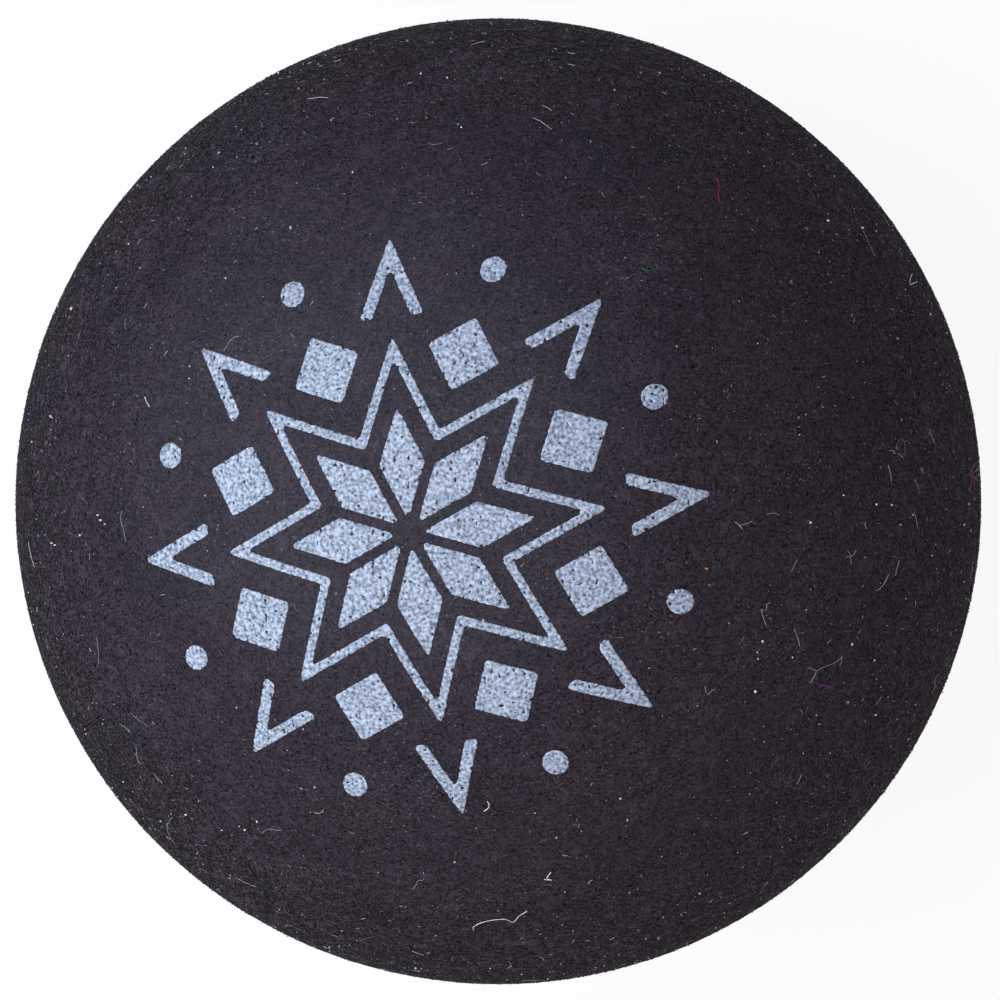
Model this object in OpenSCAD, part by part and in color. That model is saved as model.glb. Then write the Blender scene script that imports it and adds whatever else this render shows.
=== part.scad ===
// Squash ball: two moulded rubber half shells, cemented edge to edge, with a plain printed mark.
// The origin is the ball's centre. +Z is the polar axis of the two halves and points to the mark.
// The seam lies in the XY plane.

/* [Ball] */
// Diameter of the finished ball
ball_d = 40; // [38:0.1:42]
// Wall of each half shell
wall_t = 4.8; // [4:0.1:6]

/* [Seam] */
// Thickness of the cured cement between the two buffed edges
cement_t = 0.16; // [0.1:0.02:0.4]
// Radius of the hairline groove that the joint leaves around the outside
groove_r = 0.16; // [0.1:0.02:0.4]
// Width of the bevel on the inner edge of each half shell
bevel_w = 0.5; // [0.3:0.1:1]
// How far the squeezed-out bead of cement stands into the hollow
bead_h = 0.35; // [0.2:0.05:0.6]

/* [Mark] */
// Thickness of the ink film
ink_t = 0.05; // [0.04:0.01:0.1]
// Number of points of the star and of the motifs in each ring around it
star_points = 8; // [7:1:9]
// Turn of the whole mark about the polar axis, in degrees
mark_turn = 7; // [0:1:45]
// Reach of the star from the centre
star_r = 4.9; // [4:0.1:5.2]
// Bare gap between neighbouring lozenges of the star
star_gap = 0.4; // [0.2:0.1:0.6]
// Bare gap between the star and the zigzag line
zigzag_gap = 0.7; // [0.5:0.1:0.9]
// Width of the zigzag line
zigzag_w = 0.34; // [0.25:0.01:0.5]
// Bare gap between the zigzag line and the diamonds in its notches
diamond_gap = 1.1; // [0.8:0.1:1.3]
// Length of each diamond along the radius
diamond_l = 2.9; // [2:0.1:3.2]
// Bare gap between the zigzag line and the chevrons at its tips
chevron_gap = 1; // [0.8:0.1:1.2]
// Width of a chevron's two strokes
chevron_w = 0.46; // [0.3:0.01:0.6]
// Length of each chevron along the radius
chevron_l = 3.1; // [2:0.1:3.4]
// Bare gap between each diamond and the dot outside it
dot_gap = 1.4; // [1:0.1:1.8]
// Diameter of an outer dot
dot_d = 1; // [0.6:0.1:1.2]

/* [Hidden] */
$fn = 96;
rubber_colour = "#2f2b33";
cement_colour = "#1d1b1f";
ink_colour = "#a5b1c6";
ball_r = ball_d / 2;
hollow_r = ball_r - wall_t;
// Each buffed edge lies this far from the seam's plane
edge_z = cement_t / 2;
// The bead's circle passes the mouth of the two bevels and stands bead_h into the hollow
mouth_h = bevel_w + edge_z;
bead_r = (mouth_h * mouth_h + bead_h * bead_h) / (2 * bead_h);
// Angle between two points of the star, and half of it, which all sloping edges of the mark follow
pitch = 360 / star_points;
half_pitch = pitch / 2;
star_tip_r = star_gap / 2 / sin(half_pitch);
// Distances from the ball's axis to the sloping edges of the zigzag and the chevrons
zigzag_inner = star_r * sin(half_pitch) + zigzag_gap;
zigzag_outer = zigzag_inner + zigzag_w;
chevron_outer = zigzag_outer + chevron_gap + chevron_w;
chevron_tip = chevron_outer / sin(half_pitch);
diamond_start = (zigzag_outer + diamond_gap) / sin(pitch);
diamond_end = diamond_start + diamond_l;
dot_ring_r = diamond_end + dot_gap + dot_d / 2;

// Half shells

module half_profile() {
    difference() {
        intersection() {
            circle(r = ball_r);
            translate([0, edge_z]) square(ball_r);
        }
        circle(r = hollow_r);
        translate([ball_r, 0]) circle(r = groove_r);
        translate([hollow_r, edge_z]) circle(r = bevel_w, $fn = 4);
    }
}

module upper_half_shell() {
    color(rubber_colour) rotate_extrude() half_profile();
}

module lower_half_shell() {
    color(rubber_colour) mirror([0, 0, 1]) rotate_extrude() half_profile();
}

// Seam cement: a flat ring from the groove to the bevels, and the bead inside

module cement_profile() {
    difference() {
        union() {
            translate([hollow_r, -edge_z]) square([wall_t, cement_t]);
            translate([hollow_r - bead_h + bead_r, 0]) circle(r = bead_r);
        }
        translate([ball_r, 0]) circle(r = groove_r);
        half_profile();
        mirror([0, 1]) half_profile();
    }
}

module seam_cement() {
    color(cement_colour) rotate_extrude() cement_profile();
}

// Printed mark: flat motifs carried along +Z onto the upper half shell as a thin film

module film_profile() {
    difference() {
        intersection() {
            circle(r = ball_r + ink_t);
            translate([0, edge_z]) square(ball_d);
        }
        circle(r = ball_r);
    }
}

module ink_film() {
    color(ink_colour) intersection() {
        rotate_extrude() film_profile();
        rotate(mark_turn) linear_extrude(height = ball_d) children();
    }
}

module ring_of_motifs(start) {
    for (k = [0 : star_points - 1]) {
        rotate(start + k * pitch) children();
    }
}

// A lozenge from one radius to another, with the given half angle at both of its tips
module lozenge(from_r, to_r, half_angle) {
    middle_r = (from_r + to_r) / 2;
    half_w = (to_r - from_r) / 2 * tan(half_angle);
    polygon([[from_r, 0], [middle_r, -half_w], [to_r, 0], [middle_r, half_w]]);
}

// A star whose sloping edges all lie at one distance from the centre
module star_outline(edge_distance) {
    tip_r = edge_distance / sin(half_pitch);
    notch_r = edge_distance / sin(pitch);
    polygon([
        for (k = [0 : 2 * star_points - 1])
            (k % 2 == 0 ? tip_r : notch_r) * [cos(k * half_pitch), sin(k * half_pitch)]
    ]);
}

module printed_star() {
    ink_film() ring_of_motifs(0) lozenge(star_tip_r, star_r, half_pitch);
}

module printed_zigzag() {
    ink_film() difference() {
        star_outline(zigzag_outer);
        star_outline(zigzag_inner);
    }
}

module printed_diamonds() {
    ink_film() ring_of_motifs(half_pitch) lozenge(diamond_start, diamond_end, pitch);
}

module chevron() {
    half_w = chevron_l * tan(half_pitch);
    stroke_l = chevron_w / sin(half_pitch);
    foot_r = chevron_tip - chevron_l;
    polygon([
        [chevron_tip, 0],
        [foot_r, half_w],
        [foot_r, half_w - chevron_w / cos(half_pitch)],
        [chevron_tip - stroke_l, 0],
        [foot_r, -half_w + chevron_w / cos(half_pitch)],
        [foot_r, -half_w]
    ]);
}

module printed_chevrons() {
    ink_film() ring_of_motifs(0) chevron();
}

module printed_dots() {
    ink_film() ring_of_motifs(half_pitch) translate([dot_ring_r, 0]) circle(d = dot_d);
}

upper_half_shell();
lower_half_shell();
seam_cement();
printed_star();
printed_zigzag();
printed_diamonds();
printed_chevrons();
printed_dots();
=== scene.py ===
# %% [markdown]
# A squash ball is two moulded half shells of black rubber, cemented edge to edge, buffed until the skin
# is matt, and printed on one pole with pale ink. Everything here is built around the imported CAD model,
# which is the fixed frame: its centre is the origin, +Z points to the printed pole, and the seam lies in
# the XY plane. The frame is loaded first.

# %% Load the frame
import math

import bpy
import numpy as np
from mathutils import Matrix, Vector, noise


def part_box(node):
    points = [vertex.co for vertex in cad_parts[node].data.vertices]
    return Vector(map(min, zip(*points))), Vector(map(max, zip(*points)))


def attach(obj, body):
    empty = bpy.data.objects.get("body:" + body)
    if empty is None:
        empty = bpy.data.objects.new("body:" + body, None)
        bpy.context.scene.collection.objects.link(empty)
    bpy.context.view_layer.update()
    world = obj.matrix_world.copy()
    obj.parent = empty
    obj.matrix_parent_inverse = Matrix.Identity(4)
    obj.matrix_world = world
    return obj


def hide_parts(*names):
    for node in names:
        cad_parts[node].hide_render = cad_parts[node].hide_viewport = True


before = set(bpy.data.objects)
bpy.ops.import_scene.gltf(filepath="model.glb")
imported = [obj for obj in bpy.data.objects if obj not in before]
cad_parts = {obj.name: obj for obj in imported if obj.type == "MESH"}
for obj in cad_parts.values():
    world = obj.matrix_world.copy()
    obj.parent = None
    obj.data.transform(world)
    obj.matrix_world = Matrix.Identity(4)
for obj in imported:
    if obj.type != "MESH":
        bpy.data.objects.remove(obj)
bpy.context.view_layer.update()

MM = 0.001

# %% [markdown]
# All sizes come from the frame. The points of the upper half shell that lie farthest from the origin
# are on the outside of the ball, the nearest ones are on the wall of the hollow, and the lowest ones
# are on the flat edge that takes the cement. The bevel begins where that edge ends.

# %% Sizes of the ball, read from the CAD nodes
FLAT_TOLERANCE = 0.001 * MM


def points_of(node):
    """Points of a CAD node in metres, one to a row."""
    return np.array([v.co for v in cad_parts[node].data.vertices])


def reach_of(node):
    """Least and greatest distance of a CAD node's points from the ball's centre."""
    distances = np.linalg.norm(points_of(node), axis=1)
    return float(distances.min()), float(distances.max())


hollow_r, ball_r = reach_of("upper_half_shell")
edge_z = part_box("upper_half_shell")[0].z
edge_points = [p for p in points_of("upper_half_shell") if p[2] < edge_z + FLAT_TOLERANCE]
bevel_r = min(math.hypot(p[0], p[1]) for p in edge_points)
film_t = reach_of("printed_star")[1] - ball_r
print(f"ball {2 * ball_r / MM:.2f} mm, wall {(ball_r - hollow_r) / MM:.2f} mm, film {film_t / MM:.3f} mm")

# %% [markdown]
# The camera looks down on the printed pole from a little to one side, through a long lens, so that
# the ball fills the picture. Three things fix it: the ball's outline in the picture gives the
# distance, its centre gives a small shift, and the place of the pole gives the tilt.

# %% Camera
PICTURE_PX = 1000
BALL_CENTRE_PX = (498.3, 501.3)
BALL_RADIUS_PX = 482.8
POLE_PX = (410.0, 533.0)
LENS_MM = 240
SENSOR_MM = 36
TILT_ROUNDS = 8
FAR_CLIP_RADII = 100


def camera_tilt(offset_px, distance):
    """Angle between the polar axis and the view that puts the pole offset_px from the centre."""
    scale = PICTURE_PX * LENS_MM / SENSOR_MM
    tilt = 0.0
    for _ in range(TILT_ROUNDS):
        tilt = math.asin(offset_px * (distance - ball_r * math.cos(tilt)) / (scale * ball_r))
    return tilt


def add_camera():
    half_view = math.atan(BALL_RADIUS_PX / PICTURE_PX * SENSOR_MM / LENS_MM)
    distance = ball_r / math.sin(half_view)
    right = (POLE_PX[0] - BALL_CENTRE_PX[0]) / PICTURE_PX
    up = (BALL_CENTRE_PX[1] - POLE_PX[1]) / PICTURE_PX
    tilt = camera_tilt(math.hypot(right, up) * PICTURE_PX, distance)
    turn = Matrix.Rotation(tilt, 3, Vector((up, -right, 0)))
    camera = bpy.data.objects.new("camera", bpy.data.cameras.new("camera"))
    bpy.context.scene.collection.objects.link(camera)
    camera.data.lens = LENS_MM
    camera.data.sensor_width = SENSOR_MM
    camera.data.shift_x = 0.5 - BALL_CENTRE_PX[0] / PICTURE_PX
    camera.data.shift_y = BALL_CENTRE_PX[1] / PICTURE_PX - 0.5
    camera.data.clip_start = ball_r
    camera.data.clip_end = FAR_CLIP_RADII * ball_r
    camera.matrix_world = Matrix.Translation(turn.col[2] * distance) @ turn.to_4x4()
    bpy.context.scene.camera = camera
    print(f"camera {distance / MM:.0f} mm away, tilted {math.degrees(tilt):.1f} degrees from the pole")


add_camera()

# %% [markdown]
# Shaders and Geometry Nodes alike are trees of nodes, wired by a few helpers. Each value that a helper
# takes is a number, a vector, or a socket of another node, and the new node goes into the tree of the
# first socket among them. So nodes can be written like a sum, from the inside out.

# %% Helpers for node trees
FLOAT, INTEGER, VECTOR = "NodeSocketFloat", "NodeSocketInt", "NodeSocketVector"
GEOMETRY, MATERIAL, COLLECTION = "NodeSocketGeometry", "NodeSocketMaterial", "NodeSocketCollection"


def fill_in(node, values):
    """Gives sockets of a node, by name or number, their values, or links them to other sockets."""
    for key, value in values.items():
        if isinstance(value, bpy.types.NodeSocket):
            node.id_data.links.new(value, node.inputs[key])
        else:
            node.inputs[key].default_value = value


def new_node(tree, kind, values, settings):
    """A new node. settings are its own properties, and values are its sockets' values."""
    node = tree.nodes.new(kind)
    for key, value in settings.items():
        setattr(node, key, value)
    fill_in(node, values or {})
    return node


def source(tree, kind, values=None, out=0, **settings):
    """An output of a new node to which nothing is linked."""
    return new_node(tree, kind, values, settings).outputs[out]


def wire(kind, values, out=0, **settings):
    """An output of a new node in the tree of the first socket among its values."""
    sockets = [value for value in values.values() if isinstance(value, bpy.types.NodeSocket)]
    return new_node(sockets[0].id_data, kind, values, settings).outputs[out]


def new_group(name, kind, inputs, outputs):
    """A node group, its inputs, and the node that takes its outputs. Each input and output has a name
    and a type of socket. An input may have a number in place of the type, which is its default."""
    tree = bpy.data.node_groups.new(name, kind)
    for label, given in inputs.items():
        socket = {int: INTEGER, float: FLOAT}.get(type(given), given)
        made = tree.interface.new_socket(label, in_out="INPUT", socket_type=socket)
        if socket is not given:
            made.default_value = given
    for label, socket in outputs.items():
        tree.interface.new_socket(label, in_out="OUTPUT", socket_type=socket)
    return tree, tree.nodes.new("NodeGroupInput").outputs, tree.nodes.new("NodeGroupOutput")


print("types of socket:", FLOAT, INTEGER, VECTOR, GEOMETRY, MATERIAL, COLLECTION)

# %% [markdown]
# Most of those nodes only do sums, on numbers, vectors or colours, so each kind of sum has a helper. A
# noise gives 0 to 1 but hardly ever leaves the middle of that range, which the materials allow for.

# %% Helpers for sums with sockets
NOISE_MIDDLE = 0.5
NOISE_RANGE = (0.3, 0.7)


def maths(operation, *values):
    return wire("ShaderNodeMath", dict(enumerate(values)), operation=operation)


def plus(first, second):
    return maths("ADD", first, second)


def minus(first, second):
    return maths("SUBTRACT", first, second)


def times(first, second):
    return maths("MULTIPLY", first, second)


def vector_maths(operation, *values, out=0):
    return wire("ShaderNodeVectorMath", dict(enumerate(values)), out, operation=operation)


def scaled(vector, factor):
    return wire("ShaderNodeVectorMath", {0: vector, "Scale": factor}, operation="SCALE")


def combined(x, y, z):
    return wire("ShaderNodeCombineXYZ", {0: x, 1: y, 2: z})


def part(vector, axis):
    return wire("ShaderNodeSeparateXYZ", {0: vector}, axis)


def noise_field(position, scale, detail=0.0, out=0, **sockets):
    """A noise of 0 to 1 about NOISE_MIDDLE, mostly within NOISE_RANGE."""
    values = {"Vector": position, "Scale": scale, "Detail": detail, **sockets}
    return wire("ShaderNodeTexNoise", values, out)


def between(value, low, high, to_low=0.0, to_high=1.0):
    """value brought from the range low..high to the range to_low..to_high."""
    values = {"Value": value, "From Min": low, "From Max": high, "To Min": to_low, "To Max": to_high}
    return wire("ShaderNodeMapRange", values)


def mix_colours(factor, first, second):
    """Colour between first and second."""
    return wire("ShaderNodeMix", {0: factor, 6: first, 7: second}, 2, data_type="RGBA")


print("noise lies about", NOISE_MIDDLE, "and mostly within", NOISE_RANGE)

# %% [markdown]
# The whole skin of a buffed ball is one texture at several scales: a fine even grain left by the
# abrasive, sparse ragged pits where the compound tore out, faint folds, and low lumps. All materials
# of the ball need it, so it is a shader group. It reads a position in millimetres and gives the height
# of the skin, the same height without the lumps as a tone, a mask of the pits, and a slow mottle. The
# pits are the deepest parts of a noise, because the cells of a Voronoi texture would look drilled.

# %% Shader group: buffed grain
PIT_LEVELS = (0.29, 0.23)
MOTTLES_PER_MM = 0.35


def build_grain_group():
    tree, given, result = new_group(
        "buffed grain",
        "ShaderNodeTree",
        {
            "Position": VECTOR,
            "Grain per mm": 9.5,
            "Grain depth": 1.0,
            "Pits per mm": 5.5,
            "Pit depth": 0.8,
            "Lumps per mm": 3.6,
            "Lump depth": 0.9,
            "Folds per mm": 1.6,
            "Fold depth": 0.8,
        },
        {"Height": FLOAT, "Tone": FLOAT, "Pits": FLOAT, "Mottle": FLOAT},
    )
    position = given["Position"]
    grain = noise_field(position, given["Grain per mm"], detail=1.3, Roughness=0.6)
    pits = between(noise_field(position, given["Pits per mm"], detail=1.0), *PIT_LEVELS)
    folds = noise_field(position, given["Folds per mm"], detail=3.0, Distortion=0.6)
    ridge = maths("ABSOLUTE", minus(folds, NOISE_MIDDLE))
    lumps = minus(noise_field(position, given["Lumps per mm"], detail=1.0), NOISE_MIDDLE)
    tone = minus(times(grain, given["Grain depth"]), times(pits, given["Pit depth"]))
    tone = plus(tone, times(ridge, given["Fold depth"]))
    height = plus(tone, times(lumps, given["Lump depth"]))
    mottle = noise_field(position, MOTTLES_PER_MM, detail=4.0)
    fill_in(result, {"Height": height, "Tone": tone, "Pits": pits, "Mottle": mottle})
    return tree


grain_group = build_grain_group()
print("shader group:", grain_group.name)

# %% [markdown]
# Fine dust settles on rubber everywhere, thicker in some places than in others, and greys it. The
# rubber and the cement both take it, so this too is a shader group: it gives a mask that is high where
# the dust lies, from one noise that sets the patches and a finer one that sets the grains.

# %% Shader group: dust bloom
DUST_LEVEL = 0.86
PATCH_SHARE = 0.35
GRAIN_FADE = 0.12


def build_dust_group():
    tree, given, result = new_group(
        "dust bloom",
        "ShaderNodeTree",
        {"Position": VECTOR, "Grains per mm": 9.0, "Patches per mm": 0.25, "Amount": 0.5},
        {"Mask": FLOAT},
    )
    grains = noise_field(given["Position"], given["Grains per mm"], detail=1.0)
    patches = noise_field(given["Position"], given["Patches per mm"], detail=3.0)
    threshold = minus(DUST_LEVEL, times(patches, PATCH_SHARE))
    mask = between(minus(grains, threshold), 0.0, GRAIN_FADE)
    fill_in(result, {"Mask": times(mask, given["Amount"])})
    return tree


dust_group = build_dust_group()
print("shader group:", dust_group.name)

# %% [markdown]
# A material here is one Principled BSDF that reads Object coordinates. All pieces lie at the origin,
# so those are places on the ball itself, and a Mapping node turns metres into millimetres.

# %% Helpers for materials


def new_material(name):
    """A material, its Principled BSDF, and the position on the ball in millimetres."""
    material = bpy.data.materials.new(name)
    material.use_nodes = True
    coordinates = source(material.node_tree, "ShaderNodeTexCoord", out="Object")
    position = wire("ShaderNodeMapping", {"Vector": coordinates, "Scale": (1 / MM,) * 3})
    print("material:", name)
    return material, material.node_tree.nodes["Principled BSDF"], position


def use_group(group, values):
    """The outputs of a shader group, placed in the tree that its position comes from."""
    return new_node(values["Position"].id_data, "ShaderNodeGroup", values, {"node_tree": group}).outputs


def bump(height, depth):
    """A normal from a height of 0 to 1 that stands for depth metres."""
    return wire("ShaderNodeBump", {"Height": height, "Strength": 1.0, "Distance": depth})


print("positions in materials are multiplied by", 1 / MM)

# %% [markdown]
# Buffed rubber is black, but never evenly black: the tops of the grain are rubbed paler, the pits are
# darkened with painted shade, and dust greys some places. The compound itself is a shade towards purple,
# a little redder here and bluer there. Beside the mark a soft painted highlight pales the rubber, where
# the key light's gloss would fall. The camera looks along one slanting axis, and the belt round that axis
# is the ball's outline in the camera's view. There the grain's tone is more contrasty, which is painted
# shade and light on its relief, the colour is brighter, which is a painted rim light, and the bump is
# deeper; round the two ends of the axis all three are calm. Where a value differs, it is a pair, for the
# ends and for the belt.

# %% Material: buffed rubber
RUBBER_DARK = (0.0041, 0.0033, 0.0046, 1)
RUBBER_PALE = (0.0597, 0.0481, 0.0684, 1)
RUBBER_GLOSS = 0.05
INK_PALE = (0.52, 0.61, 0.80, 1)
DUST_COLOUR = (0.30, 0.30, 0.32, 1)
DUST_AMOUNT = 0.3
GRAIN_DEPTH = 0.025 * MM
# How far the pits are darkened: painted shade in the hollows.
PAINTED_PIT_SHADE = 0.5
# The axis that the camera looks along. The belt round it is the ball's outline in the camera's view.
CAMERA_AXIS = (0.183, 0.066, 0.981)
ROUGH_HEIGHTS_MM = (14.2, 4.0)
# Tone ranges: on the belt the grain's darks and pales are pushed apart, which is painted shade and light
# on its relief.
DARKEST_TONES = (0.26, 0.54)
PALEST_TONES = (0.94, 0.66)
# Painted rim light: the rubber's colour brightened towards the outline.
PAINTED_RIM_LIGHT = (1.0, 1.22)
BELT_RELIEF = (1.0, 10.0)
MOTTLE_SHADES = (0.9, 1.1)
TINGES_PER_MM = 0.3
HUES = (0.46, 0.54)
TONE_RANGE = (0.25, 0.95)
RUBBER_ROUGHNESS = (0.95, 0.8)
# A soft painted highlight beside the mark, where the key light's gloss would fall: its centre, the radii
# over which it fades, and its share of pale ink colour.
GLOW_CENTRE_MM = (-1.6, 3.0, 0.0)
GLOW_RADII_MM = (6.0, 12.0)
GLOW_SHARE = 0.019


def painted_glow(position):
    """A painted highlight: a share of pale colour round a centre on the printed half, falling to 0
    between two radii.
    """
    flat = combined(part(position, "X"), part(position, "Y"), 0.0)
    out = vector_maths("DISTANCE", flat, GLOW_CENTRE_MM, out="Value")
    near = between(out, *GLOW_RADII_MM, GLOW_SHARE, 0.0)
    return times(near, maths("GREATER_THAN", part(position, "Z"), 0.0))


def towards_belt(position, at_ends, at_belt):
    """A value that goes from at_ends to at_belt over ROUGH_HEIGHTS_MM, measured along the camera's axis;
    the belt is the ball's outline as the camera sees it.
    """
    away = maths("ABSOLUTE", vector_maths("DOT_PRODUCT", position, CAMERA_AXIS, out="Value"))
    return between(away, *ROUGH_HEIGHTS_MM, at_ends, at_belt)


def rubber_material():
    material, shader, position = new_material("buffed rubber")
    grain = use_group(grain_group, {"Position": position})
    dust = use_group(dust_group, {"Position": position, "Amount": DUST_AMOUNT})
    # On the belt the tone's contrast is raised: painted shade in the grain's low parts and painted light
    # on its tops.
    darkest = towards_belt(position, *DARKEST_TONES)
    rubbed_and_shaded = between(grain["Tone"], darkest, towards_belt(position, *PALEST_TONES))
    worn_and_shaded = mix_colours(rubbed_and_shaded, RUBBER_DARK, RUBBER_PALE)
    # The pits are darkened towards RUBBER_DARK: painted shade in the hollows.
    pit_shaded = mix_colours(times(grain["Pits"], PAINTED_PIT_SHADE), worn_and_shaded, RUBBER_DARK)
    # Painted highlight: pale ink colour mixed into the rubber round a point beside the mark.
    with_painted_glow = mix_colours(painted_glow(position), pit_shaded, INK_PALE)
    tinge = noise_field(position, TINGES_PER_MM, detail=6.0, Roughness=0.7)
    hue = between(tinge, *NOISE_RANGE, *HUES)
    shade = between(grain["Mottle"], *NOISE_RANGE, *MOTTLE_SHADES)
    # Brighter towards the belt: painted rim light.
    shade = times(shade, towards_belt(position, *PAINTED_RIM_LIGHT))
    toned = wire("ShaderNodeHueSaturation", {"Color": with_painted_glow, "Hue": hue, "Value": shade})
    height = times(grain["Height"], towards_belt(position, *BELT_RELIEF))
    fill_in(shader, {
        "Base Color": mix_colours(dust["Mask"], toned, DUST_COLOUR),
        "Roughness": between(grain["Tone"], *TONE_RANGE, *RUBBER_ROUGHNESS),
        "Specular IOR Level": RUBBER_GLOSS,
        "Normal": bump(height, GRAIN_DEPTH),
    })
    return material


buffed_rubber = rubber_material()

# %% [markdown]
# Printing ink is pale blue-grey. A pad lays it down unevenly at the scale of the grain, so it is
# speckled: nearly opaque in one place, thin in the next, and mostly missing from the pits.

# %% Material: printing ink
INK_THIN = (0.100, 0.125, 0.19, 1)
INK_DEPTH = 0.02 * MM
SPECKLES_PER_MM = 7.5
SPECKLE_RANGE = (0.28, 0.74)
INK_MISSED = 0.6


def ink_material():
    material, shader, position = new_material("printing ink")
    grain = use_group(grain_group, {"Position": position})
    cover = between(noise_field(position, SPECKLES_PER_MM, detail=1.0), *SPECKLE_RANGE)
    inked = mix_colours(cover, INK_THIN, INK_PALE)
    fill_in(shader, {
        "Base Color": mix_colours(times(grain["Pits"], INK_MISSED), inked, RUBBER_PALE),
        "Roughness": 0.7,
        "Specular IOR Level": 0.2,
        "Normal": bump(grain["Height"], INK_DEPTH),
    })
    return material


printing_ink = ink_material()

# %% [markdown]
# Cured cement is black and smoother than the rubber, with a coarse soft grain and hardly any pits. It
# takes the same grain and dust groups with other values, and a little more gloss.

# %% Material: cured cement
CEMENT_DARK = (0.010, 0.009, 0.010, 1)
CEMENT_PALE = (0.035, 0.032, 0.036, 1)


def cement_material():
    material, shader, position = new_material("cured cement")
    grain = use_group(grain_group, {"Position": position, "Grain per mm": 3.0, "Pit depth": 0.3})
    dust = use_group(dust_group, {"Position": position, "Amount": DUST_AMOUNT})
    tone = mix_colours(grain["Tone"], CEMENT_DARK, CEMENT_PALE)
    fill_in(shader, {
        "Base Color": mix_colours(dust["Mask"], tone, DUST_COLOUR),
        "Roughness": 0.6,
        "Specular IOR Level": 0.15,
        "Normal": bump(grain["Height"], GRAIN_DEPTH),
    })
    return material


cured_cement = cement_material()

# %% [markdown]
# Relief that is large enough to be a shape goes into the mesh, not into a material. It follows a
# rule, the same over the rubber and over all that lies on it, so a Geometry Nodes group does it: each
# point goes in or out along the ball's radius by the sum of two noises, read at the point's own
# direction. The attribute "skin" says how much of this a point takes: 1 on the outside, 0 inside.

# %% Geometry Nodes: relief of the buffed skin
SKIN_VALUES = {
    "Ball radius": ball_r,
    "Swell height": 0.02 * MM,
    "Swell size": 3.0 * MM,
    "Dimple height": 0.012 * MM,
    "Dimple size": 0.7 * MM,
}
NOISE_GAIN = 2.0


def attribute(tree, name):
    return source(tree, "GeometryNodeInputNamedAttribute", {"Name": name}, data_type="FLOAT")


def own_place(tree):
    return source(tree, "GeometryNodeInputPosition")


def build_relief_group():
    inputs = {"Geometry": GEOMETRY, **SKIN_VALUES}
    tree, given, result = new_group("skin relief", "GeometryNodeTree", inputs, {"Geometry": GEOMETRY})
    direction = vector_maths("NORMALIZE", own_place(tree))
    on_ball = scaled(direction, given["Ball radius"])
    rise = 0.0
    for name in ("Swell", "Dimple"):
        field = noise_field(on_ball, maths("DIVIDE", 1.0, given[name + " size"]), detail=2.0)
        wave = times(minus(field, NOISE_MIDDLE), given[name + " height"])
        rise = plus(rise, times(wave, NOISE_GAIN))
    offset = scaled(direction, times(rise, attribute(tree, "skin")))
    moved = wire("GeometryNodeSetPosition", {"Geometry": given["Geometry"], "Offset": offset})
    fill_in(result, {"Geometry": moved})
    return tree


relief_group = build_relief_group()
print("geometry group:", relief_group.name, SKIN_VALUES)

# %% [markdown]
# Every piece on the skin is made by a tree that ends in the same way: the relief is added, instances
# are made real, and the material is set. The shells and the ink need nothing else, so their tree is
# only that. A tree runs as a modifier, its result is kept as a plain mesh, and the modifier goes.

# %% Geometry Nodes: tree of the shells and the ink


def new_ball_tree(name, inputs):
    """A tree for pieces on the ball. All such trees share their first inputs."""
    inputs = {"Geometry": GEOMETRY, **SKIN_VALUES, "Material": MATERIAL, **inputs}
    return new_group(name, "GeometryNodeTree", inputs, {"Geometry": GEOMETRY})


def end_tree(given, result, geometry):
    """Ends a tree for pieces on the ball: relief, real geometry, material."""
    sizes = {name: given[name] for name in SKIN_VALUES}
    relief = wire("GeometryNodeGroup", {"Geometry": geometry, **sizes}, node_tree=relief_group)
    real = wire("GeometryNodeRealizeInstances", {0: relief})
    values = {"Geometry": real, "Material": given["Material"]}
    fill_in(result, {"Geometry": wire("GeometryNodeSetMaterial", values)})


def build_skin_tree():
    tree, given, result = new_ball_tree("buffed skin", {})
    end_tree(given, result, given["Geometry"])
    return tree


def apply_tree(piece, tree, values):
    """Runs a Geometry Nodes tree on a piece and keeps the result as its plain mesh."""
    values = {**SKIN_VALUES, **values}
    modifier = piece.modifiers.new(tree.name, "NODES")
    modifier.node_group = tree
    for item in tree.interface.items_tree:
        if item.in_out == "INPUT" and item.name in values:
            modifier[item.identifier] = values[item.name]
    depsgraph = bpy.context.evaluated_depsgraph_get()
    made = bpy.data.meshes.new_from_object(piece.evaluated_get(depsgraph), depsgraph=depsgraph)
    piece.modifiers.remove(modifier)
    made.name = piece.name
    piece.data = made


skin_tree = build_skin_tree()
print("geometry tree:", skin_tree.name)

# %% [markdown]
# Each piece is an object of its own that sits at the origin and has its places in its mesh, as a CAD node
# does. The ball has only one body, so every piece rides on that. Where a piece replaces a CAD node, that
# node is hidden.

# %% Helpers for pieces


def new_piece(name, points=(), edges=(), faces=(), collection=None):
    """A new object at the origin with its own mesh."""
    mesh = bpy.data.meshes.new(name)
    mesh.from_pydata(points, edges, faces)
    piece = bpy.data.objects.new(name, mesh)
    (collection or bpy.context.scene.collection).objects.link(piece)
    return piece


def set_attribute(piece, name, values, kind="FLOAT", field="value"):
    """Gives a piece an attribute on its points."""
    piece.data.attributes.new(name, kind, "POINT").data.foreach_set(field, values)


def finish_piece(piece, node=None):
    """Rides a piece on the ball and hides the CAD node that it replaces, where there is one."""
    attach(piece, "root")
    if node:
        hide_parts(node)
    print(piece.name, len(piece.data.polygons), "faces")


# %% [markdown]
# A half shell is modelled as a real closed wall: a fine skin outside, the rounded lip and flat edge
# that meet the cement, the bevel, and the wall of the hollow. A UV sphere would crowd its points
# at the pole, right under the print, so the skin is a square grid on the pole with a band of grids
# round it, like the faces of a cube blown up to a ball. All its cells are then about the same size.

# %% Points and faces of a half ball


def ring_direction(k, cells, height):
    """Direction of point k of a ring of 4 * cells points, on the band at a height of 0 to 1."""
    side, step = divmod(k, cells)
    t = math.tan((2 * step / cells - 1) * math.pi / 4)
    x, y = ((t, -1), (1, t), (-t, 1), (-1, -t))[side]
    return Vector((x, y, math.tan(height * math.pi / 4))).normalized()


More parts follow.
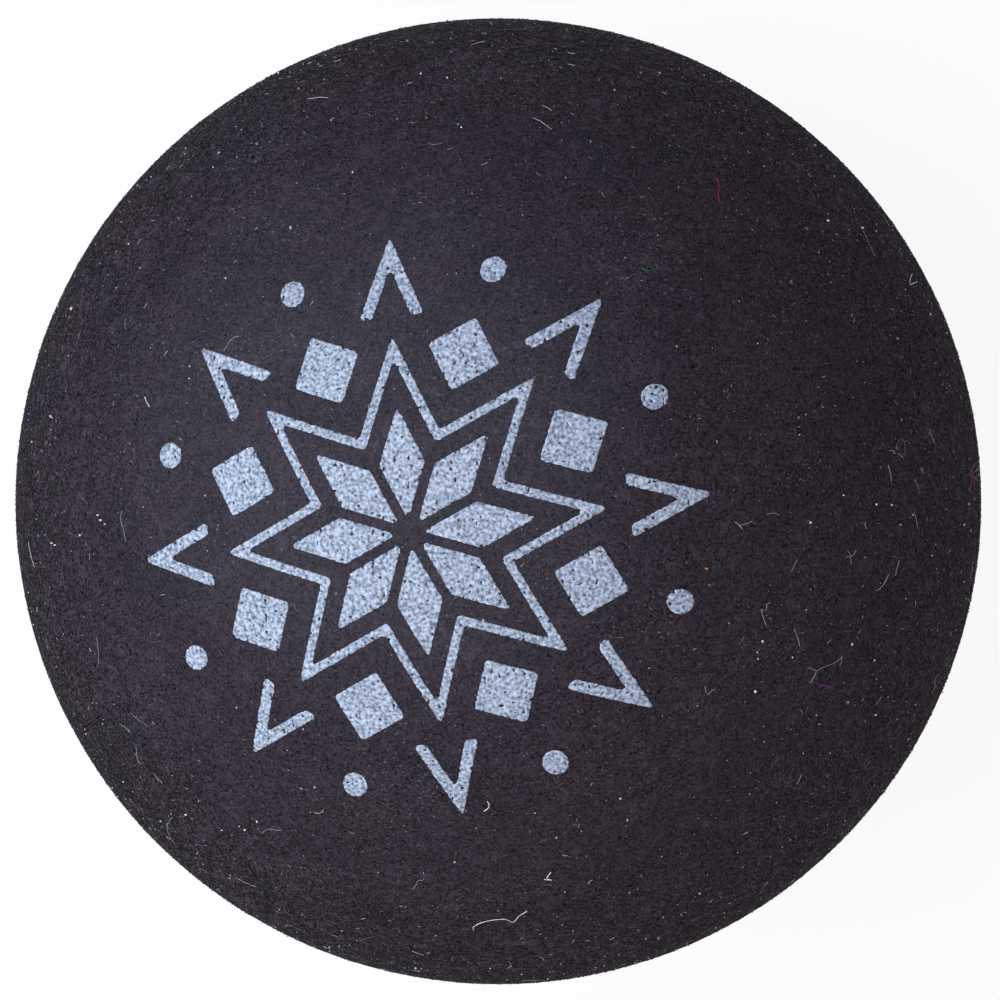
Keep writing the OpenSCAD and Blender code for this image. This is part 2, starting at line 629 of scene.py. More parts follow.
def half_ball(cells, radius, base_height):
    """Points and faces of a half ball whose lowest ring lies at base_height. The first 4 * cells
    points are that ring."""
    rows = cells // 2
    ring = 4 * cells
    directions = [ring_direction(k, cells, row / rows) for row in range(rows) for k in range(ring)]
    first_top = len(directions)
    for j in range(cells + 1):
        for i in range(cells + 1):
            x, y = (math.tan((2 * n / cells - 1) * math.pi / 4) for n in (i, j))
            directions.append(Vector((x, y, 1)).normalized())
    low = math.asin(base_height / radius)
    points = []
    for d in directions:
        latitude = low + math.asin(min(1.0, d.z)) * (1 - 2 * low / math.pi)
        flat = math.hypot(d.x, d.y)
        out = radius * math.cos(latitude) / flat if flat > 0 else 0.0
        points.append((d.x * out, d.y * out, radius * math.sin(latitude)))

    def top(i, j):
        return first_top + j * (cells + 1) + i

    def above(row, k):
        """Point k of the ring above a row of the band. Above the last row it is the grid's rim."""
        if row < rows - 1:
            return (row + 1) * ring + k % ring
        side, step = divmod(k % ring, cells)
        return (top(step, 0), top(cells, step), top(cells - step, cells), top(0, cells - step))[side]

    faces = []
    for row in range(rows):
        below = row * ring
        for k in range(ring):
            faces.append((below + k, below + (k + 1) % ring, above(row, k + 1), above(row, k)))
    for j in range(cells):
        for i in range(cells):
            faces.append((top(i, j), top(i + 1, j), top(i + 1, j + 1), top(i, j + 1)))
    return points, faces


print("a half ball of 2 cells has", len(half_ball(2, ball_r, 0.0)[1]), "faces")

# %% [markdown]
# The skin goes down in rings over the rounded lip to the flat edge. There, one ring of many-sided
# faces leads to the wall of the hollow, which is closed in and smooth and so needs only a quarter as
# many points round. The lower half is the same with all heights turned over, and its faces are turned
# round so that they still point outwards.

# %% Half shells
SKIN_CELLS = 168
HOLLOW_CELLS = 42
SEAM_DEPTH, SEAM_WIDTH = 0.04 * MM, 0.12 * MM
LIP_HEIGHTS = (0.50 * MM, 0.36 * MM, 0.26 * MM, 0.19 * MM, 0.14 * MM, 0.10 * MM)


def seam_dip(height):
    """How deep the rounded lip lies under the ball's surface at a height above the seam."""
    return SEAM_DEPTH * math.exp(-((height / SEAM_WIDTH) ** 2))


def half_shell(name, side, node):
    """A closed half shell on the side +1, above the seam, or -1, below it."""
    points, faces = half_ball(SKIN_CELLS, ball_r, LIP_HEIGHTS[0])
    skin = [1.0] * len(points)
    ring = 4 * SKIN_CELLS
    upper = list(range(ring))
    bearing = [math.atan2(points[k][1], points[k][0]) for k in range(ring)]

    def add_ring(radius, height, angles, on_skin):
        first = len(points)
        points.extend((radius * math.cos(a), radius * math.sin(a), height) for a in angles)
        skin.extend([on_skin] * len(angles))
        return list(range(first, first + len(angles)))

    for height in (*LIP_HEIGHTS[1:], edge_z):
        radius = math.sqrt(ball_r**2 - height**2) - seam_dip(height)
        lower = add_ring(radius, height, bearing, 0.0 if height == edge_z else 1.0)
        faces += [(lower[k - 1], lower[k], upper[k], upper[k - 1]) for k in range(ring)]
        upper = lower
    ratio = SKIN_CELLS // HOLLOW_CELLS
    few = 4 * HOLLOW_CELLS
    inner = add_ring(bevel_r, edge_z, bearing[::ratio], 0.0)
    for k in range(few):
        outer = [upper[(ratio * k + n) % ring] for n in range(ratio + 1)]
        faces.append((*outer[::-1], inner[k], inner[(k + 1) % few]))
    wall_points, wall_faces = half_ball(HOLLOW_CELLS, hollow_r, edge_z + bevel_r - hollow_r)
    first = len(points)
    points += wall_points
    skin += [0.0] * len(wall_points)
    faces += [tuple(first + v for v in face[::-1]) for face in wall_faces]
    faces += [(inner[(k + 1) % few], inner[k], first + k, first + (k + 1) % few) for k in range(few)]
    if side < 0:
        points = [(x, y, -z) for x, y, z in points]
        faces = [face[::-1] for face in faces]
    piece = new_piece(name, points, faces=faces)
    set_attribute(piece, "skin", skin)
    piece.data.shade_smooth()
    apply_tree(piece, skin_tree, {"Material": buffed_rubber})
    finish_piece(piece, node)


half_shell("buffed_upper_half", 1, "upper_half_shell")
half_shell("buffed_lower_half", -1, "lower_half_shell")

# %% [markdown]
# The cement fills the joint. On a new ball it is buffed nearly flush with the skin, so that only a
# hairline shows, and inside the ball it stands out as a round bead. Its section is a closed outline
# of radius and height, and turning that outline round the polar axis makes the ring.

# %% Cement ring
CEMENT_SUNK = 0.03 * MM
CEMENT_DISH = 1.5 * CEMENT_SUNK
CEMENT_CLEAR = 0.002 * MM
BEAD_STEPS = 8


def cement_section():
    """Outline of the ring's section, as (radius, height), counter-clockwise from the lower outer edge."""
    half = edge_z - CEMENT_CLEAR
    mouth = half + bevel_r - hollow_r
    inner_r = reach_of("seam_cement")[0]
    outer_r = ball_r - CEMENT_SUNK
    bead = []
    for step in range(BEAD_STEPS + 1):
        turn = math.pi * (0.5 + step / BEAD_STEPS)
        bead.append((hollow_r + (hollow_r - inner_r) * math.cos(turn), mouth * math.sin(turn)))
    outer = [(outer_r, -half), (ball_r - CEMENT_DISH, 0.0), (outer_r, half)]
    return outer + [(bevel_r, half)] + bead + [(bevel_r, -half)]


def cement_ring(name, node):
    section = cement_section()
    rounds = 4 * SKIN_CELLS
    count = len(section)
    points = []
    faces = []
    for k in range(rounds):
        angle = 2 * math.pi * k / rounds
        points += [(r * math.cos(angle), r * math.sin(angle), height) for r, height in section]
        here, there = k * count, (k + 1) % rounds * count
        for n in range(count):
            after = (n + 1) % count
            faces.append((here + n, there + n, there + after, here + after))
    piece = new_piece(name, points, faces=faces)
    piece.data.materials.append(cured_cement)
    finish_piece(piece, node)


cement_ring("cement_ring", "seam_cement")

# %% [markdown]
# The mark is one impression of ink from a printing pad. Each of its films starts from the outline of
# its CAD node, seen from above, which is the border of the triangles on the node's top face.

# %% Outline of an ink film
KEY_DIGITS = 7


def outline_of(node):
    """Edges of the node's top face, seen from above, as an array of start and end points."""
    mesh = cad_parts[node].data
    points = [v.co for v in mesh.vertices]
    edges = {}
    for face in mesh.polygons:
        corners = [points[v] for v in face.vertices]
        if min(c.length for c in corners) < ball_r + 0.5 * film_t:
            continue
        keys = [(round(c.x, KEY_DIGITS), round(c.y, KEY_DIGITS)) for c in corners]
        for start, end in zip(keys, keys[1:] + keys[:1]):
            edges[(start, end)] = True
    return np.array([edge for edge in edges if edge[::-1] not in edges])


print("outline of the star:", len(outline_of("printed_star")), "edges")

# %% [markdown]
# Pad ink is thin and never perfect: its corners are rounded, its edge is a little ragged, and it misses
# the deepest pits of the rubber, so the film has small holes. On a fine grid over the outline, every
# corner gets a number that holds all this: how far it lies inside the ink, less some noise.

# %% How far inside the ink a place lies
FILM_CELL = 0.05 * MM
MARGIN = 3 * FILM_CELL
CORNER_RADIUS = 0.15 * MM
EDGE_RAG, EDGE_RAG_SIZE = 0.035 * MM, 0.12 * MM
NOISY_DEPTH = -3 * EDGE_RAG
HOLE_SIZE = 0.14 * MM
HOLE_LEVEL = 0.45
HOLE_NOISE_START = Vector((0, 0, 5))


def depth_inside(outline, x, y):
    """How far each place lies inside the outline, in metres. Outside it is negative."""
    nearest = np.full(x.shape, np.inf)
    crossings = np.zeros(x.shape, int)
    for (ax, ay), (bx, by) in outline:
        dx, dy = bx - ax, by - ay
        along = ((x - ax) * dx + (y - ay) * dy) / (dx * dx + dy * dy)
        along = np.clip(along, 0, 1)
        nearest = np.minimum(nearest, np.hypot(x - ax - along * dx, y - ay - along * dy))
        if dy != 0:
            passes = (y >= min(ay, by)) & (y < max(ay, by))
            crossings += passes & (x < ax + (y - ay) * dx / dy)
    return np.where(crossings % 2 == 1, nearest, -nearest)


def rounded_corners(depth):
    """depth averaged over a small disc, which rounds the corners of its zero line."""
    near = np.clip(depth, -CORNER_RADIUS, CORNER_RADIUS)
    reach = round(CORNER_RADIUS / FILM_CELL)
    rows, columns = depth.shape
    padded = np.pad(near, reach, mode="edge")
    steps = range(-reach, reach + 1)
    disc = [(i, j) for i in steps for j in steps if i * i + j * j <= reach * reach]
    total = np.zeros(depth.shape)
    for i, j in disc:
        total += padded[reach + j:reach + j + rows, reach + i:reach + i + columns]
    return total / len(disc)


def ink_depth(outline, x, y):
    """depth_inside with rounded corners, and with the ragged edge and the missed pits taken off."""
    depth = rounded_corners(depth_inside(outline, x, y))
    for i in np.argwhere(depth > NOISY_DEPTH):
        place = tuple(i)
        spot = Vector((x[place], y[place], 0))
        rag = EDGE_RAG * noise.noise(spot / EDGE_RAG_SIZE)
        hole = HOLE_SIZE * (HOLE_LEVEL - noise.noise(spot / HOLE_SIZE + HOLE_NOISE_START))
        depth[place] = min(depth[place] + rag, hole)
    return depth


print("cells of the ink's grid are", FILM_CELL / MM, "mm wide")

# %% [markdown]
# Marching squares cuts the grid where that number is zero, which makes edge and holes in one step: a
# cell that is all ink stays whole, and one that is part ink is cut on the lines between its corners.

# %% Marching squares
LEAST_CUT = 0.1


def cut_between(first, second):
    """Key of the point where the ink ends between two corners."""
    return tuple(sorted((first, second)))


def cell_polygons(corners, inked):
    """Polygons that cover the ink in a cell. inked says for each corner if it is in the ink."""
    if not any(inked):
        return []
    after = (*corners[1:], corners[0])
    cuts = [cut_between(corners[k], after[k]) for k in range(4)]
    if sum(inked) == 2 and inked[0] == inked[2]:
        return [[corners[k], cuts[k], cuts[k - 1]] for k in range(4) if inked[k]]
    polygon = []
    for k in range(4):
        if inked[k]:
            polygon.append(corners[k])
        if inked[k] != inked[(k + 1) % 4]:
            polygon.append(cuts[k])
    return [polygon]


def cut_grid(depth):
    """Polygons that cover the grid where depth is above 0. The key of a point is its corner (i, j),
    or the two corners that it lies between."""
    inside = depth > 0
    rows, columns = depth.shape
    polygons = []
    for j in range(rows - 1):
        for i in range(columns - 1):
            corners = ((i, j), (i + 1, j), (i + 1, j + 1), (i, j + 1))
            polygons += cell_polygons(corners, [inside[b, a] for a, b in corners])
    return polygons


def flat_point(key, x, y, depth):
    """Place of a point, seen from above, and its depth in the ink."""
    if not isinstance(key[0], tuple):
        i, j = key
        return x[j, i], y[j, i], depth[j, i]
    (i, j), (m, n) = key
    share = depth[j, i] / (depth[j, i] - depth[n, m])
    share = min(1 - LEAST_CUT, max(LEAST_CUT, share))
    return x[j, i] + share * (x[n, m] - x[j, i]), y[j, i] + share * (y[n, m] - y[j, i]), 0


print("a cell with one inked corner:", cell_polygons(((0, 0), (1, 0), (1, 1), (0, 1)), (1, 0, 0, 0)))

# %% [markdown]
# The cut sheet is lifted onto the ball and given a thickness, with a rounded edge, so each film is a
# closed body. The skin tree then lays it on the rubber's relief.

# %% Ink films
FILM_SUNK = 0.01 * MM
FILM_RISE = 0.5 * film_t
ROUNDED_EDGE = 0.07 * MM
EDGE_SHARE = 0.4


def lifted(x, y, reach):
    """The place straight above (x, y) at a distance from the ball's centre."""
    return x, y, math.sqrt(reach**2 - x**2 - y**2)


def film_reach(depth):
    """Distance of the film's top from the ball's centre, less near its edge."""
    full = min(1.0, EDGE_SHARE + (1 - EDGE_SHARE) * depth / ROUNDED_EDGE)
    return ball_r + FILM_RISE * full


def ink_film(name, node):
    """A closed film of ink that stands for the CAD node."""
    outline = outline_of(node)
    low = outline.min(axis=(0, 1)) - MARGIN
    high = outline.max(axis=(0, 1)) + MARGIN
    x, y = np.meshgrid(np.arange(low[0], high[0], FILM_CELL), np.arange(low[1], high[1], FILM_CELL))
    depth = ink_depth(outline, x, y)
    polygons = cut_grid(depth)
    places = {}
    for polygon in polygons:
        for key in polygon:
            places.setdefault(key, len(places))
    flat = [flat_point(key, x, y, depth) for key in places]
    count = len(flat)
    faces = [[places[key] for key in polygon] for polygon in polygons]
    sides = {(a, b) for face in faces for a, b in zip(face, face[1:] + face[:1])}
    walls = [(a + count, b + count, b, a) for a, b in sides if (b, a) not in sides]
    under = [[v + count for v in reversed(face)] for face in faces]
    points = [lifted(px, py, film_reach(inset)) for px, py, inset in flat]
    points += [lifted(px, py, ball_r - FILM_SUNK) for px, py, inset in flat]
    piece = new_piece(name, points, faces=faces + under + walls, collection=ink_films)
    set_attribute(piece, "skin", [1.0] * len(points))
    piece.data.shade_smooth()
    apply_tree(piece, skin_tree, {"Material": printing_ink})
    finish_piece(piece, node)


ink_films = bpy.data.collections.new("ink films")
bpy.context.scene.collection.children.link(ink_films)
for motif in ("star", "zigzag", "diamonds", "chevrons", "dots"):
    ink_film("ink_" + motif, "printed_" + motif)

# %% [markdown]
# Matt rubber picks up whatever lies around: crumbs of dust and short fibres of lint, all over the ball.
# They are real things on the surface, so they are modelled. One material serves them all, and takes
# its colour from an attribute, "tint", that each crumb and fibre carries.

# %% Material: lint and dust
LINT_SHADES = (0.75, 1.2)
UNEVEN_PER_MM = 6.0
LINT_DEPTH = 0.01 * MM


def lint_material():
    material, shader, position = new_material("lint and dust")
    tint = source(shader.id_data, "ShaderNodeAttribute", out="Color", attribute_name="tint")
    field = noise_field(position, UNEVEN_PER_MM, detail=2.0)
    shade = between(field, *NOISE_RANGE, *LINT_SHADES)
    fill_in(shader, {
        "Base Color": wire("ShaderNodeHueSaturation", {"Color": tint, "Value": shade}),
        "Roughness": 0.8,
        "Specular IOR Level": 0.2,
        "Normal": bump(field, LINT_DEPTH),
    })
    return material


lint_and_dust = lint_material()

# %% [markdown]
# There are thousands of crumbs and fibres, so Geometry Nodes scatter them. A few helpers are needed for
# that: random numbers, attributes on points, and copies of a shape on each point.

# %% Helpers for scattered things
FULL_TURN = 2 * math.pi


def random_number(low, high, seed, offset):
    """A random number from low to high for each point. offset keeps one draw apart from another."""
    values = {2: low, 3: high, "Seed": plus(seed, offset)}
    return wire("FunctionNodeRandomValue", values, 1, data_type="FLOAT")


def random_vector(low, high, seed, offset):
    values = {0: low, 1: high, "Seed": plus(seed, offset)}
    return wire("FunctionNodeRandomValue", values, 0, data_type="FLOAT_VECTOR")


def store(geometry, name, value, kind="FLOAT"):
    """The geometry with a named attribute on its points."""
    values = {"Geometry": geometry, "Name": name, "Value": value}
    return wire("GeometryNodeStoreNamedAttribute", values, data_type=kind)


def without(points, unwanted):
    values = {"Geometry": points, "Selection": unwanted}
    return wire("GeometryNodeDeleteGeometry", values, domain="POINT")


def real_copies(points, shape, turn, size):
    """A copy of the shape on each point, made real."""
    values = {"Points": points, "Instance": shape, "Rotation": turn, "Scale": size}
    return wire("GeometryNodeRealizeInstances", {0: wire("GeometryNodeInstanceOnPoints", values)})


print("random turns go up to", round(FULL_TURN, 3), "radians")

# %% [markdown]
# A random height between the poles and a random bearing give points that cover a ball evenly. Near the
# poles, where a ball gets handled and wiped, most are deleted again. Each point carries a random colour
# for its crumb or fibre, between a dull and a pale one, with a tinge of its own.

# %% Geometry Nodes: points scattered over the ball
POLE_SHARE = 0.22
THIN_HEIGHTS = (19.0 * MM, 4.0 * MM)
LINT_PALE = (0.85, 0.85, 0.86, 1)
LINT_DULL = (0.12, 0.11, 0.13, 1)
TINGE_LOW, TINGE_HIGH = (0.85, 0.88, 0.88), (1.12, 1.02, 1.15)
DULL_POWER = 1.5


def scattered_points(given):
    """Points spread evenly over the ball."""
    seed = given["Seed"]
    height = random_number(-1.0, 1.0, seed, 0)
    bearing = random_number(0.0, FULL_TURN, seed, 1)
    flat = maths("SQRT", minus(1.0, times(height, height)))
    x = times(flat, maths("COSINE", bearing))
    y = times(flat, maths("SINE", bearing))
    place = scaled(combined(x, y, height), given["Ball radius"])
    return wire("GeometryNodePoints", {"Count": given["Count"], "Position": place})


def lint_points(tree, given):
    """Scattered points, fewer near the poles, each with a tint between dull and pale."""
    seed = given["Seed"]
    height = maths("ABSOLUTE", part(own_place(tree), "Z"))
    kept_share = between(height, *THIN_HEIGHTS, POLE_SHARE, 1.0)
    gone = maths("GREATER_THAN", random_number(0.0, 1.0, seed, 9), kept_share)
    pale = maths("POWER", random_number(0.0, 1.0, seed, 2), DULL_POWER)
    tinge = random_vector(TINGE_LOW, TINGE_HIGH, seed, 7)
    tint = vector_maths("MULTIPLY", mix_colours(pale, LINT_DULL, LINT_PALE), tinge)
    return store(without(scattered_points(given), gone), "tint", tint, "FLOAT_COLOR")


def mostly_small(given, what, power):
    """A random size for each point. The higher the power, the fewer are large."""
    least = given["Least " + what]
    rare = maths("POWER", random_number(0.0, 1.0, given["Seed"], 3), power)
    return plus(least, times(minus(given["Greatest " + what], least), rare))


def scatter(name, tree, values):
    """A piece that holds all that a scatter tree makes."""
    piece = new_piece(name)
    apply_tree(piece, tree, {"Material": lint_and_dust, **values})
    finish_piece(piece)


print("colours of lint from", LINT_DULL, "to", LINT_PALE)

# %% [markdown]
# A crumb of dust is a speck of no shape in particular, so an icosphere of twenty faces will do, turned
# at random and drawn out a little. Most are small and few are large. They come in two sizes: crumbs
# that can be made out one by one, and many more that are finer.

# %% Geometry Nodes: dust crumbs
CRUMB_LIFT = 0.6
CRUMB_POWER = 5.0
CRUMB_LENGTHS = (0.7, 1.8)
CRUMB_VALUES = {"Count": 2000, "Seed": 3, "Least size": 0.014 * MM, "Greatest size": 0.055 * MM}
FINE_VALUES = {"Count": 8000, "Seed": 8, "Least size": 0.012 * MM, "Greatest size": 0.034 * MM}


def build_crumb_tree():
    inputs = {"Count": 100, "Least size": 0.0, "Greatest size": 0.0, "Seed": 0}
    tree, given, result = new_ball_tree("dust crumbs", inputs)
    seed = given["Seed"]
    size = mostly_small(given, "size", CRUMB_POWER)
    shape = combined(times(size, random_number(*CRUMB_LENGTHS, seed, 4)), size, size)
    turn = random_vector((0, 0, 0), (FULL_TURN,) * 3, seed, 0)
    crumb = source(tree, "GeometryNodeMeshIcoSphere", {"Radius": 1.0, "Subdivisions": 1})
    lift = scaled(vector_maths("NORMALIZE", own_place(tree)), times(size, CRUMB_LIFT))
    points = wire("GeometryNodeSetPosition", {"Geometry": lint_points(tree, given), "Offset": lift})
    end_tree(given, result, store(real_copies(points, crumb, turn, shape), "skin", 1.0))
    return tree


crumb_tree = build_crumb_tree()
scatter("dust_crumbs", crumb_tree, CRUMB_VALUES)
scatter("fine_dust", crumb_tree, FINE_VALUES)

# %% [markdown]
# The buffed rubber is rough enough to see at the ball's outline: the abrasive leaves thousands of tiny
# nubs standing proud. A bump in the material has no outline and hides nothing behind it, so the nubs are
# modelled, with eight faces each. They keep clear of the ink, which lies smooth over the rubber: any
# point that is too near an ink film is deleted before its nub is placed.

# %% Geometry Nodes: nubs of the buffed rubber
NUB_LENGTHS, NUB_HEIGHTS = (0.8, 1.6), (0.5, 1.0)
NUB_VALUES = {
    "Count": 24500,
    "Least size": 0.02 * MM,
    "Greatest size": 0.048 * MM,
    "Ink films": ink_films,
    "Ink clearance": 0.06 * MM,
    "Seed": 41,
    "Material": buffed_rubber,
}


def flat_turn(place, seed, offset):
    """Turns that lay copies flat on the ball, each in a random direction."""
    upright = wire("FunctionNodeAlignRotationToVector", {"Vector": place}, axis="Z")
    values = {"Axis": (0, 0, 1), "Angle": random_number(0.0, FULL_TURN, seed, offset)}
    spin = wire("FunctionNodeAxisAngleToRotation", values)
    return wire("FunctionNodeRotateRotation", {0: upright, 1: spin}, rotation_space="LOCAL")


def build_nub_tree():
    inputs = {"Count": 100, "Least size": 0.0, "Greatest size": 0.0, "Seed": 0}
    inputs.update({"Ink films": COLLECTION, "Ink clearance": 0.0})
    tree, given, result = new_ball_tree("rubber nubs", inputs)
    seed = given["Seed"]
    films = wire("GeometryNodeCollectionInfo", {"Collection": given["Ink films"]})
    films = wire("GeometryNodeRealizeInstances", {0: films})
    gap = wire("GeometryNodeProximity", {0: films}, "Distance", target_element="FACES")
    bare = without(scattered_points(given), maths("LESS_THAN", gap, given["Ink clearance"]))
    size = random_number(given["Least size"], given["Greatest size"], seed, 3)
    long = times(size, random_number(*NUB_LENGTHS, seed, 4))
    tall = times(size, random_number(*NUB_HEIGHTS, seed, 5))
    turn = flat_turn(own_place(tree), seed, 6)
    nub = source(tree, "GeometryNodeMeshUVSphere", {"Segments": 4, "Rings": 2, "Radius": 1.0})
    nubs = real_copies(bare, nub, turn, combined(long, size, tall))
    end_tree(given, result, store(nubs, "skin", 1.0))
    return tree


scatter("rubber_nubs", build_nub_tree(), NUB_VALUES)

# %% [markdown]
# A fibre of lint is a thin thread that lies flat on the rubber in a bow, with small kinks. So the
# points of a line are pushed sideways by a bow of each fibre's own size and by a noise, brought back
# to the ball's surface, and the line gets a round section. Five sides are enough for so thin a thread.

# %% Geometry Nodes: from a line to a fibre
FIBRE_SIDES = 5
KINKS_PER_METRE = 3.5 / MM


def tubes_on_skin(tree, given, curves, lift, radius):
    """Round tubes along curves whose points are brought to a height of lift over the ball."""
    direction = vector_maths("NORMALIZE", own_place(tree))
    on_skin = scaled(direction, plus(given["Ball radius"], lift))
    laid = wire("GeometryNodeSetPosition", {"Geometry": curves, "Position": on_skin})
    values = {"Resolution": FIBRE_SIDES, "Radius": 1.0}
    circle = source(tree, "GeometryNodeCurvePrimitiveCircle", values)
    values = {"Curve": laid, "Profile Curve": circle, "Scale": radius, "Fill Caps": True}
    return wire("GeometryNodeCurveToMesh", values)


def bowed_and_kinked(tree, given, fibres):
    """The fibres with their points pushed sideways by each one's bow, and about by a noise. The bow's
    push is full at both ends and 0 at the middle."""
    place = own_place(tree)
    from_middle = minus(source(tree, "GeometryNodeSplineParameter", out="Factor"), 0.5)
    arc = times(times(from_middle, from_middle), 4.0)
    arc = times(times(arc, attribute(tree, "bow")), attribute(tree, "length"))
    tangent = source(tree, "GeometryNodeInputTangent")
    sideways = vector_maths("NORMALIZE", vector_maths("CROSS_PRODUCT", place, tangent))
    kink = noise_field(place, KINKS_PER_METRE, detail=3.0, out=1)
    kink = scaled(vector_maths("SUBTRACT", kink, (NOISE_MIDDLE,) * 3), given["Kink"])
    pushed = vector_maths("ADD", scaled(sideways, arc), kink)
    return wire("GeometryNodeSetPosition", {"Geometry": fibres, "Offset": pushed})


print("sides of a fibre:", FIBRE_SIDES)

# %% [markdown]
# One straight line is put on every scattered point, turned at random, and made a fibre. The tree runs
# twice: for fibres that can be made out one by one, and for a fuzz of very short ones.

# %% Geometry Nodes: lint fibres
FIBRE_POWER = 3.0
BOWS, RADIUS_SHARES = (-0.16, 0.16), (0.4, 1.0)
FIBRE_VALUES = {
    "Count": 300,
    "Least length": 0.15 * MM,
    "Greatest length": 1.2 * MM,
    "Fibre radius": 0.012 * MM,
    "Kink": 0.2 * MM,
    "Steps": 12,
    "Seed": 11,
}
FUZZ_VALUES = {
    "Count": 4500,
    "Least length": 0.05 * MM,
    "Greatest length": 0.30 * MM,
    "Fibre radius": 0.009 * MM,
    "Kink": 0.08 * MM,
    "Steps": 3,
    "Seed": 23,
}


def build_fibre_tree():
    inputs = {"Count": 100, "Least length": 0.0, "Greatest length": 0.0, "Seed": 0}
    inputs.update({"Fibre radius": 0.0, "Kink": 0.0, "Steps": 12})
    tree, given, result = new_ball_tree("lint fibres", inputs)
    seed = given["Seed"]
    points = store(lint_points(tree, given), "length", mostly_small(given, "length", FIBRE_POWER))
    points = store(points, "bow", random_number(*BOWS, seed, 4))
    points = store(points, "share", random_number(*RADIUS_SHARES, seed, 6))
    values = {"Start": (-0.5, 0, 0), "End": (0.5, 0, 0)}
    line = source(tree, "GeometryNodeCurvePrimitiveLine", values)
    line = wire("GeometryNodeResampleCurve", {"Curve": line, "Count": given["Steps"]})
    long = attribute(tree, "length")
    turn = flat_turn(own_place(tree), seed, 5)
    fibres = real_copies(points, line, turn, combined(long, long, long))
    fibres = bowed_and_kinked(tree, given, fibres)
    radius = times(attribute(tree, "share"), given["Fibre radius"])
    tubes = tubes_on_skin(tree, given, fibres, given["Fibre radius"], radius)
    end_tree(given, result, store(tubes, "skin", 1.0))
    return tree


fibre_tree = build_fibre_tree()
scatter("lint_fibres", fibre_tree, FIBRE_VALUES)
scatter("short_fuzz", fibre_tree, FUZZ_VALUES)

# %% [markdown]
# A few fibres are so plain in the picture that they are laid one by one. Each is a short list of places
# in the picture, from one end to the other, with its colour and its radius in millimetres. A ray from the
# camera through each place meets the ball at one point, and a smooth curve through those points is the
# fibre. The few crumbs that stand out are laid the same way, as fibres as thick as they are long.

# %% Fibres laid one by one
WHITE_LINT = (0.75, 0.75, 0.78, 1)
GREY_LINT = (0.30, 0.28, 0.30, 1)
FAINT_LINT = (0.17, 0.16, 0.18, 1)
RED_LINT = (0.34, 0.15, 0.24, 1)
RED_FIBRE = (0.30, 0.02, 0.05, 1)
GREEN_FIBRE = (0.03, 0.20, 0.09, 1)
TEAL_FIBRE = (0.03, 0.16, 0.18, 1)
DARK_TEAL_FIBRE = (0.03, 0.12, 0.13, 1)
VIOLET_FIBRE = (0.20, 0.07, 0.24, 1)
ORANGE_FIBRE = (0.75, 0.30, 0.12, 1)
BLACK_HAIR = (0.004, 0.003, 0.005, 1)
KINKED_PATH = (
    (474, 930), (473, 927), (480, 923), (491, 920), (505, 919), (513, 922), (519, 916), (527, 911)
)
CURLED_PATH = ((770, 603), (766.5, 604), (766.5, 608), (764, 611), (761, 609), (763, 617), (766, 625))
